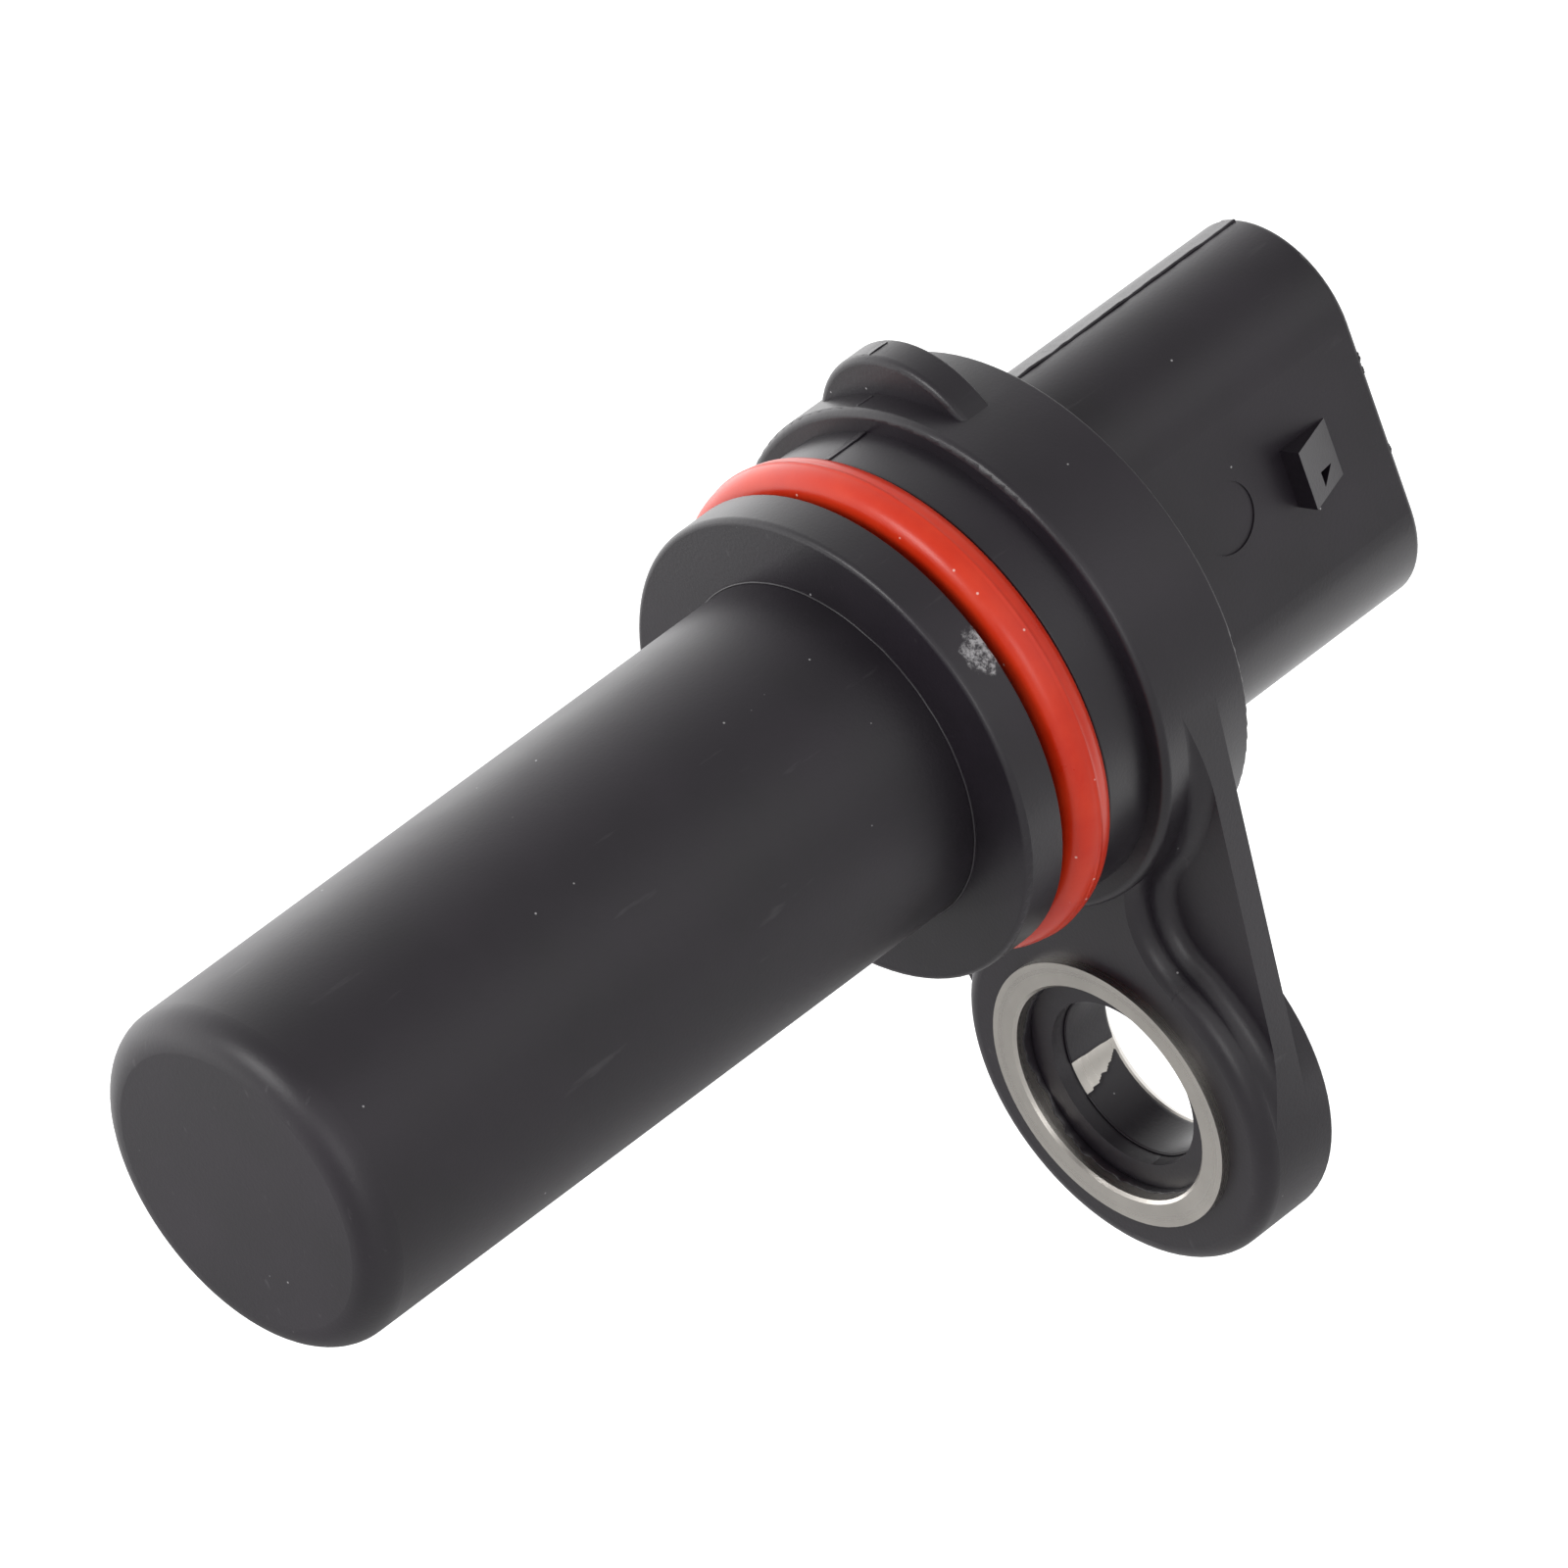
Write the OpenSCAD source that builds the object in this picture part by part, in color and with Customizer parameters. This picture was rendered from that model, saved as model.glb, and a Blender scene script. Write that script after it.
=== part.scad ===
// Crankshaft position sensor: a sealed inductive pick-up with a plain probe, one fixing ear
// and a two-pole plug socket. Millimetres. +X runs along the probe axis from tip to socket,
// -Z points to the fixing bolt, -Y is the latch side. X = 0 is the collar's front face.

/* [Probe] */
// Diameter of the probe at its tip
probe_tip_d = 18; // [16:0.1:20]
// Diameter of the probe where it enters the collar
probe_root_d = 18.2; // [18:0.05:19]
// Length of the probe ahead of the collar
probe_len = 39.9; // [34:0.1:50]
// Rounding of the tip's edge
tip_edge_r = 1.65; // [0.5:0.05:2.5]
// Wall of the probe cup
cup_wall = 1.3; // [1:0.05:1.6]
// Wall in front of the pole pin
tip_wall = 0.8; // [0.5:0.05:1.5]
// Depth that the cup is moulded into the collar
cup_grip = 5; // [4.5:0.1:5.5]

/* [Collar and seal] */
// Diameter of the pilot lands each side of the seal
pilot_d = 25; // [24.5:0.05:25.5]
// Width of the front land
front_land_w = 2.4; // [2:0.05:3]
// Width of the seal groove
groove_w = 3.2; // [2.9:0.05:3.4]
// Cord diameter of the seal
seal_cord_d = 2.62; // [2.4:0.02:2.7]
// Height that the seal stands proud of the lands
seal_proud = 0.6; // [0.3:0.05:0.7]
// Rounding of the collar's front edge
collar_edge_r = 0.3; // [0.1:0.05:0.4]

/* [Flange] */
// Distance from the collar's front face to the seating plane
seat_x = 8.35; // [8:0.05:9]
// Diameter of the flange
flange_d = 27.2; // [26.5:0.1:30]
// Width of the flange behind the seating plane
flange_w = 5.8; // [5.5:0.05:7]
// Rounding of the flange's front edge
flange_edge_r = 0.4; // [0.2:0.05:0.6]
// Rounding of the flange's rear rim
flange_rim_r = 0.15; // [0.05:0.05:0.3]

/* [Grip lobe] */
// Height of the lobe's crest above the probe axis
lobe_crest = 15.6; // [15:0.1:17]
// Radius of the lobe's crown
lobe_r = 5.8; // [5:0.1:7]
// Rounding of the lobe's front edge
lobe_edge_r = 0.35; // [0.2:0.05:0.5]
// Set-back of the lobe's front face behind the seating plane
lobe_set_back = 1.6; // [1.2:0.05:1.8]
// Width of the lobe along the probe axis
lobe_w = 1.8; // [1.5:0.05:2.5]

/* [Fixing ear] */
// Distance from the probe axis to the bolt axis
bolt_offset = 24; // [23:0.1:26]
// Diameter of the boss round the bush
boss_d = 19.5; // [18.5:0.1:20]
// Set-back of the plastic boss behind the bush's front face
boss_set_back = 0.5; // [0.3:0.05:0.6]
// Rounding of the boss and neck front edge
boss_edge_r = 0.95; // [0.6:0.05:0.95]
// Radius of the hollow sides of the neck
neck_r = 4.4; // [4:0.1:5.5]
// Set-back of the arm plate's front face behind the seating plane
arm_set_back = 2.45; // [2.4:0.05:2.8]
// Thickness of the arm plate
arm_w = 1.4; // [1.2:0.05:2.5]
// Radius of the cove where neck and boss meet the arm plate
cove_r = 0.9; // [0.6:0.05:0.9]

/* [Bolt bush] */
// Outside diameter of the bush
bush_d = 14.7; // [14:0.1:15.5]
// Bolt clearance hole
bush_bore_d = 9; // [8.4:0.1:9.2]
// Length of the bush
bush_len = 5.35; // [5.2:0.05:5.8]
// Counterbore in the bush's front face
counterbore_d = 11.9; // [11.4:0.1:12.4]
// Depth of the counterbore
counterbore_depth = 2; // [1.8:0.05:2.2]
// Depth of the moulded ring below the bush's front face
infill_depth = 1.1; // [0.9:0.05:1.3]
// Bore of the moulded ring in the counterbore
infill_bore_d = 9.1; // [9.05:0.05:9.6]

/* [Plug socket] */
// Distance of the socket's middle below the probe axis
shroud_drop = 0.3; // [0:0.05:0.6]
// Height of the socket shroud, across its round ends
shroud_h = 20.7; // [20:0.1:22]
// Thickness of the shroud, across its flat sides
shroud_t = 10.5; // [10:0.1:12]
// Length of the shroud behind the flange
shroud_len = 19.35; // [18:0.05:22]
// Wall of the shroud
shroud_wall = 1.5; // [1.2:0.05:1.8]
// Depth of the socket from its rim
socket_depth = 15; // [14:0.1:16]
// Rounding of the shroud's rim
rim_edge_r = 0.35; // [0.1:0.05:0.5]
// Distance of the latch tooth's steep face from the rim
tooth_from_rim = 6.6; // [5.5:0.1:7]
// Length of the latch tooth's ramp
tooth_len = 3.2; // [2.5:0.1:4]
// Width of the latch tooth
tooth_w = 3.1; // [2.5:0.1:4]
// Height of the latch tooth
tooth_h = 1.35; // [1:0.05:1.6]
// Diameter of the ejector pin's witness disc
witness_d = 3.6; // [2:0.1:4]
// Distance of the witness disc's centre from the rim
witness_from_rim = 10.9; // [10:0.1:12]
// Depth of the witness disc
witness_depth = 0.08; // [0.04:0.02:0.12]

/* [Terminals] */
// Distance between the two blades' middles
blade_pitch = 6.5; // [6:0.1:7.5]
// Width of a blade
blade_w = 2.8; // [2:0.1:3]
// Thickness of a blade
blade_t = 0.8; // [0.6:0.05:1]
// Reach of the blades from the socket's floor
blade_reach = 8.7; // [7:0.1:10]
// Width of the strip between blade and lug
strip_w = 1.8; // [1.4:0.1:2]

/* [Coil and magnet] */
// Diameter of the pole pin and the magnet
core_d = 6; // [5:0.1:6.4]
// Length of the magnet
magnet_len = 9; // [7:0.1:9.5]
// Outside diameter of the winding
winding_d = 13.2; // [12:0.1:13.6]
// Thickness of the insulating tape on the winding
tape_t = 0.15; // [0.1:0.05:0.3]
// Diameter of the winding's lead wires
lead_d = 0.4; // [0.3:0.05:0.5]
// Wall of the coil former's tube
former_wall = 0.95; // [0.8:0.05:1.2]
// Thickness of the coil former's end flanges
former_flange_w = 1.1; // [0.8:0.05:1.4]

/* [Hidden] */
$fn = 96;
// Overlap given to cutters and joined solids
over = 0.5;
// Depth that a thin form is sunk into the solid it joins
bury = 0.3;
// Lift that lets a rounded cutter cross its face instead of touching it
edge_lift = 0.03;
// Clearance of pieces that are pushed together
push_gap = 0.05;
// Clearance of the former in the cup
former_gap = 0.12;

probe_tip_r = probe_tip_d / 2;
probe_root_r = probe_root_d / 2;
tip_x = -probe_len;
cup_bore_r = probe_tip_r - cup_wall;
cup_floor_x = tip_x + tip_wall;
// Run inside the collar over which the cup takes on its neck's radius
neck_step_x = 0.6;

pilot_r = pilot_d / 2;
rear_land_x = front_land_w + groove_w;
seal_ring_r = pilot_r + seal_proud - seal_cord_d / 2;
groove_floor_r = seal_ring_r - seal_cord_d / 2 - push_gap;
// The seal lies against the groove's rear wall
seal_x = rear_land_x - seal_cord_d / 2 - push_gap;
// Plastic kept between the groove's floor and the cup
collar_wall = 0.9;
cup_neck_r = min(probe_root_r, groove_floor_r - collar_wall);

flange_r = flange_d / 2;
flange_rear_x = seat_x + flange_w;

plate_x = seat_x + arm_set_back;
plate_rear_x = plate_x + arm_w;
lobe_x = seat_x + lobe_set_back;
lobe_rear_x = lobe_x + lobe_w;
lobe_z = lobe_crest - lobe_r;

boss_r = boss_d / 2;
boss_x = seat_x + boss_set_back;
// Step by which the bush stands proud of the boss at the rear
bush_rear_step = 0.1;
boss_rear_x = seat_x + bush_len - bush_rear_step;
boss_rear_r = 0.15;

// A neck circle touches the flange and the boss
neck_to_flange = flange_r + neck_r;
neck_to_boss = boss_r + neck_r;
neck_z = -(bolt_offset * bolt_offset + neck_to_flange * neck_to_flange
    - neck_to_boss * neck_to_boss) / (2 * bolt_offset);
neck_y = sqrt(neck_to_flange * neck_to_flange - neck_z * neck_z);
// The arm plate's straight sides touch the flange and the boss
arm_lean = asin((flange_r - boss_r) / bolt_offset);

bush_r = bush_d / 2;
bush_bore_r = bush_bore_d / 2;
counterbore_r = counterbore_d / 2;
bush_groove_w = 1.2;
bush_groove_depth = 0.4;
bush_chamfer = 0.5;
// Bevel at the counterbore's mouth
mouth_bevel = 0.15;
// Keying holes that let the plastic into the counterbore
key_d = 0.6;
key_count = 3;
key_x = seat_x + (infill_depth + counterbore_depth) / 2;

shroud_end_r = shroud_t / 2;
shroud_end_z = shroud_h / 2 - shroud_end_r;
rim_x = flange_rear_x + shroud_len;
socket_floor_x = rim_x - socket_depth;
tooth_x = rim_x - tooth_from_rim;
witness_x = rim_x - witness_from_rim;
// Height of the witness disc's centre above the probe axis
witness_z = 0.3;
// Lead-in at the socket's mouth
mouth_chamfer = 0.4;

blade_z = blade_pitch / 2;
blade_tip_x = socket_floor_x + blade_reach;
// Length of a blade's wide root inside the body
blade_root = 4;
blade_root_x = socket_floor_x - blade_root;
blade_taper = 1.2;
blade_taper_w = 0.6;

core_r = core_d / 2;
former_bore_r = core_r + push_gap;
former_tube_r = former_bore_r + former_wall;
former_flange_r = cup_bore_r - former_gap;
former_x = cup_floor_x + push_gap;
spool_x = former_x + former_flange_w;
// Depth of the magnet's rear face ahead of the collar's front face
magnet_depth = 2;
magnet_x = -magnet_depth - magnet_len;
spool_rear_x = magnet_x - former_flange_w;
// Wall that the magnet's housing has over the former's tube
house_wall = 1.4;
magnet_house_r = former_tube_r + house_wall;
magnet_house_x = -1.2;
bar_t = 4.8;
// Margin of the carrier bar beside the blades
bar_margin = 0.8;
bar_z = blade_z + blade_w / 2 + bar_margin;
// Reach of the carrier bar behind the cup
bar_reach = 6;
bar_end_x = cup_grip + bar_reach;
seal_disc_w = 1.6;
winding_r = winding_d / 2;
lead_z = winding_r - lead_d;
notch_h = former_flange_r + over - lead_z + lead_d;
// Distance of the terminals' lugs behind the magnet's housing
lug_gap = 0.4;
lug_x = magnet_house_x + lug_gap;
lug_w = 1.6;
lug_z = lead_z + lead_d;

// Melt ribs that weld the cup into the collar
rib_h = 0.4;
rib_w = 0.8;
rib_places = [1.6, 3.2];

plastic_black = "#2b2a2c";
seal_red = "#cf2f1f";
steel_grey = "#8d8a86";
former_tan = "#b9a27c";
tin_grey = "#b7b9bb";

// Shared forms

// A profile of radius against X, turned about the X axis
module turned() {
    rotate([0, 90, 0])
        rotate_extrude()
            children();
}

// A Y-Z outline pulled along X
module pulled(from_x, to_x) {
    translate([from_x, 0, 0])
        rotate([90, 0, 90])
            linear_extrude(height = to_x - from_x)
                children();
}

// Part of a turn about an X axis through y, z; the angle counts from -Z towards +Y
module part_turn(y, z, from_angle, span) {
    translate([0, y, z])
        rotate([0, 90, 0])
            rotate([0, 0, from_angle])
                rotate_extrude(angle = span)
                    children();
}

// A band of a turned profile with its two outer corners rounded
module band(r, from_x, to_x, front_edge, rear_edge) {
    translate([0, from_x])
        square([r - max(front_edge, rear_edge), to_x - from_x]);
    translate([0, from_x + front_edge])
        square([r, to_x - from_x - front_edge - rear_edge]);
    translate([r - front_edge, from_x + front_edge])
        circle(r = front_edge);
    if (front_edge < rear_edge)
        translate([0, from_x])
            square([r - front_edge, rear_edge]);
    if (rear_edge < front_edge)
        translate([0, to_x - front_edge])
            square([r - rear_edge, front_edge]);
    translate([r - rear_edge, to_x - rear_edge])
        circle(r = rear_edge);
}

// The hollow corner between a wall at r and a face at x, on the side that the signs name
module cove(r, x, size, r_side, x_side) {
    difference() {
        translate([min(r, r + r_side * size), min(x, x + x_side * size)])
            square(size);
        translate([r + r_side * size, x + x_side * size])
            circle(r = size);
    }
}

// A round wall with a cove at its foot on a face at x
module foot_cove(r, x, size) {
    turned() {
        translate([0, x - size])
            square([r, size + bury]);
        translate([0, x])
            square([r + size, bury]);
        cove(r, x, size, 1, -1);
    }
}

// The outline of the shroud, or of its socket with the wall taken off
module oblong(inset) {
    for (side = [-1, 1])
        translate([0, side * shroud_end_z])
            circle(r = shroud_end_r - inset);
    square([2 * (shroud_end_r - inset), 2 * shroud_end_z], center = true);
}

// Probe

module cup_outside() {
    turned() {
        polygon([[0, tip_x], [probe_tip_r - tip_edge_r, tip_x], [probe_tip_r, tip_x + tip_edge_r],
            [probe_root_r, 0], [cup_neck_r, neck_step_x], [cup_neck_r, cup_grip], [0, cup_grip]]);
        translate([probe_tip_r - tip_edge_r, tip_x + tip_edge_r])
            circle(r = tip_edge_r);
        for (rib = rib_places)
            polygon([[cup_neck_r - rib_h, rib - rib_w], [cup_neck_r + rib_h, rib],
                [cup_neck_r - rib_h, rib + rib_w]]);
    }
}

module probe_cup() {
    color(plastic_black)
        difference() {
            cup_outside();
            turned()
                translate([0, cup_floor_x])
                    square([cup_bore_r, cup_grip - cup_floor_x + over]);
        }
}

// Moulded body

module collar_and_flange() {
    turned() {
        band(pilot_r, 0, front_land_w, collar_edge_r, collar_edge_r / 3);
        square([groove_floor_r, rear_land_x + over]);
        band(pilot_r, rear_land_x, seat_x + over, collar_edge_r / 3, collar_edge_r / 3);
        band(flange_r, seat_x, flange_rear_x, flange_edge_r, flange_rim_r);
    }
}

module grip_lobe() {
    translate([0, 0, lobe_z])
        turned()
            band(lobe_r, lobe_x, lobe_rear_x, lobe_edge_r, flange_rim_r);
}

// The arm plate between the lines that touch flange and boss
module arm_outline() {
    flange_touch_y = flange_r * cos(arm_lean);
    flange_touch_z = -flange_r * sin(arm_lean);
    boss_touch_y = boss_r * cos(arm_lean);
    boss_touch_z = -bolt_offset - boss_r * sin(arm_lean);
    polygon([[-flange_touch_y, flange_touch_z], [flange_touch_y, flange_touch_z],
        [boss_touch_y, boss_touch_z], [-boss_touch_y, boss_touch_z]]);
}

// The web between flange and boss, before its sides are hollowed
module neck_blank() {
    pulled(boss_x, plate_x + bury)
        polygon([[0, -bolt_offset], [neck_y, neck_z], [0, 0], [-neck_y, neck_z]]);
}

// Cutter for one hollow side: it flares at the front edge and closes in a cove on the arm plate
module neck_hollow() {
    turned() {
        translate([0, boss_x - over])
            square([neck_r, plate_x - cove_r - boss_x + over]);
        translate([0, boss_x - over])
            square([neck_r - cove_r, plate_x - boss_x + over]);
        translate([neck_r - cove_r, plate_x - cove_r])
            circle(r = cove_r);
        difference() {
            translate([neck_r - bury, boss_x - over])
                square([boss_edge_r + bury, boss_edge_r + over - edge_lift]);
            translate([neck_r + boss_edge_r, boss_x + boss_edge_r - edge_lift])
                circle(r = boss_edge_r);
        }
    }
}

module fixing_ear() {
    translate([0, 0, -bolt_offset])
        turned()
            band(boss_r, boss_x, boss_rear_x, boss_edge_r, boss_rear_r);
    pulled(plate_x, plate_rear_x)
        arm_outline();
    difference() {
        neck_blank();
        for (side = [-1, 1])
            translate([0, side * neck_y, neck_z])
                neck_hollow();
    }
    intersection() {
        union() {
            foot_cove(flange_r, plate_x, cove_r);
            translate([0, 0, -bolt_offset])
                foot_cove(boss_r, plate_x, cove_r);
        }
        pulled(plate_x - cove_r, plate_x + bury)
            arm_outline();
    }
}

module shroud() {
    pulled(flange_rear_x - over, rim_x - rim_edge_r)
        oblong(0);
    pulled(rim_x - rim_edge_r - over, rim_x)
        oblong(rim_edge_r);
    // Rounded rim: two half turns and two straight runs
    for (side = [-1, 1]) {
        part_turn(0, side * shroud_end_z, side > 0 ? 90 : -90, 180)
            rim_round();
        translate([0, 0, -shroud_end_z])
            linear_extrude(height = 2 * shroud_end_z)
                translate([rim_x - rim_edge_r, side * (shroud_end_r - rim_edge_r)])
                    circle(r = rim_edge_r);
    }
}

// Quarter round of the shroud's rim, as radius against X
module rim_round() {
    intersection() {
        translate([shroud_end_r - rim_edge_r, rim_x - rim_edge_r])
            circle(r = rim_edge_r);
        translate([shroud_end_r - rim_edge_r, rim_x - rim_edge_r])
            square(rim_edge_r);
    }
}

// Latch tooth: steep towards the flange, sloping to the rim, with a three-cornered pocket
module latch_tooth() {
    root_y = -shroud_end_r;
    difference() {
        translate([0, 0, -tooth_w / 2])
            linear_extrude(height = tooth_w)
                polygon([[tooth_x, root_y + over], [tooth_x, root_y - tooth_h],
                    [tooth_x + tooth_len, root_y], [tooth_x + tooth_len, root_y + over]]);
        translate([tooth_x + tooth_len * 0.42, root_y, -tooth_w * 0.1])
            rotate([90, 0, 0])
                linear_extrude(height = tooth_h + over)
                    polygon([[0, 0], [tooth_len * 0.36, -tooth_w * 0.06], [0, -tooth_w * 0.26]]);
    }
}

module socket() {
    pulled(socket_floor_x, rim_x + over)
        oblong(shroud_wall);
    // Lead-in chamfer, as two cones and two slopes
    for (side = [-1, 1]) {
        translate([0, 0, side * shroud_end_z])
            turned()
                mouth_slope();
        translate([0, 0, -shroud_end_z])
            linear_extrude(height = 2 * shroud_end_z)
                for (half = [0, 1])
                    mirror([0, half])
                        rotate(90)
                            mirror([0, 1])
                                mouth_slope();
    }
}

// Slope at the socket's mouth, as distance from the middle against X
module mouth_slope() {
    polygon([[0, rim_x - mouth_chamfer - over], [shroud_end_r - shroud_wall, rim_x - mouth_chamfer - over],
        [shroud_end_r - shroud_wall, rim_x - mouth_chamfer],
        [shroud_end_r - shroud_wall + mouth_chamfer, rim_x], [0, rim_x]]);
}

// Moulded ring in the bush's counterbore and the threads of plastic that feed it
module bush_infill() {
    translate([0, 0, -bolt_offset]) {
        difference() {
            turned()
                translate([0, seat_x + infill_depth])
                    square([counterbore_r, counterbore_depth - infill_depth]);
            turned()
                translate([0, seat_x])
                    square([infill_bore_d / 2, bush_len]);
        }
        bush_keys(counterbore_r - 0.2, bush_r);
    }
}

module bush_keys(from_r, to_r) {
    for (key = [0 : key_count - 1])
        rotate([key * 360 / key_count, 0, 0])
            translate([key_x, 0, from_r])
                cylinder(d = key_d, h = to_r - from_r, $fn = 24);
}

module body() {
    color(plastic_black) {
        difference() {
            union() {
                collar_and_flange();
                grip_lobe();
                fixing_ear();
                translate([0, 0, -shroud_drop])
                    shroud();
                latch_tooth();
            }
            cup_outside();
            turned()
                square([former_flange_r, cup_grip]);
            translate([0, 0, -bolt_offset])
                bush_outside();
            translate([0, 0, -shroud_drop])
                socket();
            carrier_bar(0, bar_end_x);
            terminal_strip(1);
            terminal_strip(-1);
            // Witness disc of the ejector pin
            translate([witness_x, -shroud_end_r + witness_depth, witness_z])
                rotate([90, 0, 0])
                    cylinder(d = witness_d, h = over);
        }
        bush_infill();
    }
}

// Seal

module seal_ring() {
    color(seal_red)
        turned()
            translate([seal_ring_r, seal_x])
                circle(d = seal_cord_d);
}

// Bolt bush

module bush_outside() {
    turned()
        difference() {
            translate([0, seat_x])
                square([bush_r, bush_len]);
            translate([bush_r - bush_groove_depth, seat_x + bush_len / 2])
                square([over, bush_groove_w]);
        }
}

module bolt_bush() {
    color(steel_grey)
        translate([0, 0, -bolt_offset])
            difference() {
                bush_outside();
                turned() {
                    translate([0, seat_x - over])
                        square([bush_bore_r, bush_len + 2 * over]);
                    translate([0, seat_x - over])
                        square([counterbore_r, counterbore_depth + over]);
                    polygon([[0, seat_x], [counterbore_r + mouth_bevel, seat_x],
                        [counterbore_r, seat_x + mouth_bevel], [0, seat_x + mouth_bevel]]);
                    polygon([[0, seat_x + bush_len - bush_chamfer],
                        [bush_bore_r, seat_x + bush_len - bush_chamfer],
                        [bush_bore_r + bush_chamfer, seat_x + bush_len], [0, seat_x + bush_len]]);
                }
                bush_keys(counterbore_r - 0.2, bush_r + over);
            }
}

// Coil former, its core and its winding

module carrier_bar(from_x, to_x) {
    translate([from_x, -bar_t / 2, -bar_z])
        cube([to_x - from_x, bar_t, 2 * bar_z]);
}

module coil_former() {
    color(former_tan)
        difference() {
            union() {
                turned() {
                    translate([0, former_x])
                        square([former_flange_r, former_flange_w]);
                    translate([0, former_x])
                        square([former_tube_r, spool_rear_x - former_x]);
                    translate([0, spool_rear_x])
                        square([former_flange_r, former_flange_w]);
                    translate([0, spool_rear_x])
                        square([magnet_house_r, magnet_house_x - spool_rear_x]);
                    translate([0, cup_grip - seal_disc_w])
                        square([former_flange_r, seal_disc_w]);
                }
                carrier_bar(magnet_house_x - over, bar_end_x);
            }
            turned()
                translate([0, former_x - over])
                    square([former_bore_r, magnet_x + magnet_len - former_x + over]);
            // Notches that the leads pass through
            for (side = [-1, 1])
                rotate([side > 0 ? 0 : 180, 0, 0])
                    translate([spool_rear_x - over, -lead_d, lead_z - lead_d])
                        cube([former_flange_w + 2 * over, 2 * lead_d, notch_h]);
            terminal_strip(1);
            terminal_strip(-1);
        }
}

module winding() {
    color("#b5651d")
        turned()
            difference() {
                translate([0, spool_x])
                    square([winding_r, spool_rear_x - spool_x]);
                translate([0, spool_x - over])
                    square([former_tube_r, spool_rear_x - spool_x + 2 * over]);
            }
}

module winding_tape() {
    color("#c9b458")
        turned()
            translate([winding_r, spool_x])
                square([tape_t, spool_rear_x - spool_x]);
}

module pole_pin() {
    color(steel_grey)
        turned()
            translate([0, former_x])
                square([core_r, magnet_x - former_x]);
}

module magnet() {
    color("#5a5a5e")
        turned()
            translate([0, magnet_x])
                square([core_r, magnet_len]);
}

// Terminals and leads; side is 1 above the axis and -1 below it

module terminal_strip(side) {
    middle_z = side * blade_z - shroud_drop;
    lug_low = min(side * lug_z, middle_z - strip_w / 2);
    lug_high = max(side * lug_z, middle_z + strip_w / 2);
    half_w = blade_w / 2;
    tip_half_w = half_w - blade_taper_w;
    taper_x = blade_tip_x - blade_taper;
    translate([0, blade_t / 2, 0])
        rotate([90, 0, 0])
            linear_extrude(height = blade_t) {
                translate([lug_x, lug_low])
                    square([lug_w, lug_high - lug_low]);
                translate([lug_x, middle_z - strip_w / 2])
                    square([blade_root_x - lug_x + over, strip_w]);
                translate([0, middle_z])
                    polygon([[blade_root_x, -half_w], [taper_x, -half_w], [blade_tip_x, -tip_half_w],
                        [blade_tip_x, tip_half_w], [taper_x, half_w], [blade_root_x, half_w]]);
            }
}

module upper_terminal() {
    color(tin_grey)
        terminal_strip(1);
}

module lower_terminal() {
    color(tin_grey)
        terminal_strip(-1);
}

module lead(side) {
    color("#b5651d")
        translate([spool_rear_x, 0, side * lead_z])
            rotate([0, 90, 0])
                cylinder(d = lead_d, h = lug_x - spool_rear_x, $fn = 24);
}

module start_lead() {
    lead(1);
}

module finish_lead() {
    lead(-1);
}

probe_cup();
body();
seal_ring();
bolt_bush();
coil_former();
winding();
winding_tape();
pole_pin();
magnet();
upper_terminal();
lower_terminal();
start_lead();
finish_lead();
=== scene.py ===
import math

import bmesh
import bpy
from mathutils import Matrix, Vector, noise


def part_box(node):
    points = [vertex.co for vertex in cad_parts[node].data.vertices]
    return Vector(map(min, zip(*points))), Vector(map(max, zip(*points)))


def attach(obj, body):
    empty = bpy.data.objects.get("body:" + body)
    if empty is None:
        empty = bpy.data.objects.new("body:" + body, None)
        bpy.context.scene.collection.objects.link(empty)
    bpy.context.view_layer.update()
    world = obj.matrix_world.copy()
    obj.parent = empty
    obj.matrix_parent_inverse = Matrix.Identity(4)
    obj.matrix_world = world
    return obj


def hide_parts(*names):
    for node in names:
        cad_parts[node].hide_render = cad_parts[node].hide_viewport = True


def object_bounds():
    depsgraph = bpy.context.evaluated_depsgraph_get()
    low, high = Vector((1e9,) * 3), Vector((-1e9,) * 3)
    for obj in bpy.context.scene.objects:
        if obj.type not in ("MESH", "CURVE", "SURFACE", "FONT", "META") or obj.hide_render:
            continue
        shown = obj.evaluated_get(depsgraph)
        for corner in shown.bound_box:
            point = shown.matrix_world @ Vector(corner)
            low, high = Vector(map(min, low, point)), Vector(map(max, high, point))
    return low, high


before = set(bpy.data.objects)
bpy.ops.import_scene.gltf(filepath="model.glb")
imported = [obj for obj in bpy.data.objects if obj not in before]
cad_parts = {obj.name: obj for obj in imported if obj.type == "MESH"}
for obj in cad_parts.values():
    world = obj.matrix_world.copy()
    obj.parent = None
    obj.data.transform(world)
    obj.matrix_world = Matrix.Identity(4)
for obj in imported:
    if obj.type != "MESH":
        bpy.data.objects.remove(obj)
cad_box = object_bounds()

# Coil former
# A spool of pale glass-filled nylon that carries coil, magnet and terminals through the moulding.
# It is dull, because it comes from a plain blasted mould.

MM = 0.001
# Most of a noise texture's values lie between these two
noise_low = 0.3
noise_high = 0.7


def linear(hex_colour):
    """Turns an sRGB hex colour into the linear colour that a shader takes."""
    parts = [int(hex_colour[i:i + 2], 16) / 255 for i in (1, 3, 5)]
    return [c / 12.92 if c <= 0.04045 else ((c + 0.055) / 1.055) ** 2.4 for c in parts] + [1.0]


def fill_sockets(tree, node, inputs):
    """Fills a node's sockets with values, or links them to other sockets."""
    for key, value in inputs.items():
        if isinstance(value, bpy.types.NodeSocket):
            tree.links.new(value, node.inputs[key])
        else:
            node.inputs[key].default_value = value


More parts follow.
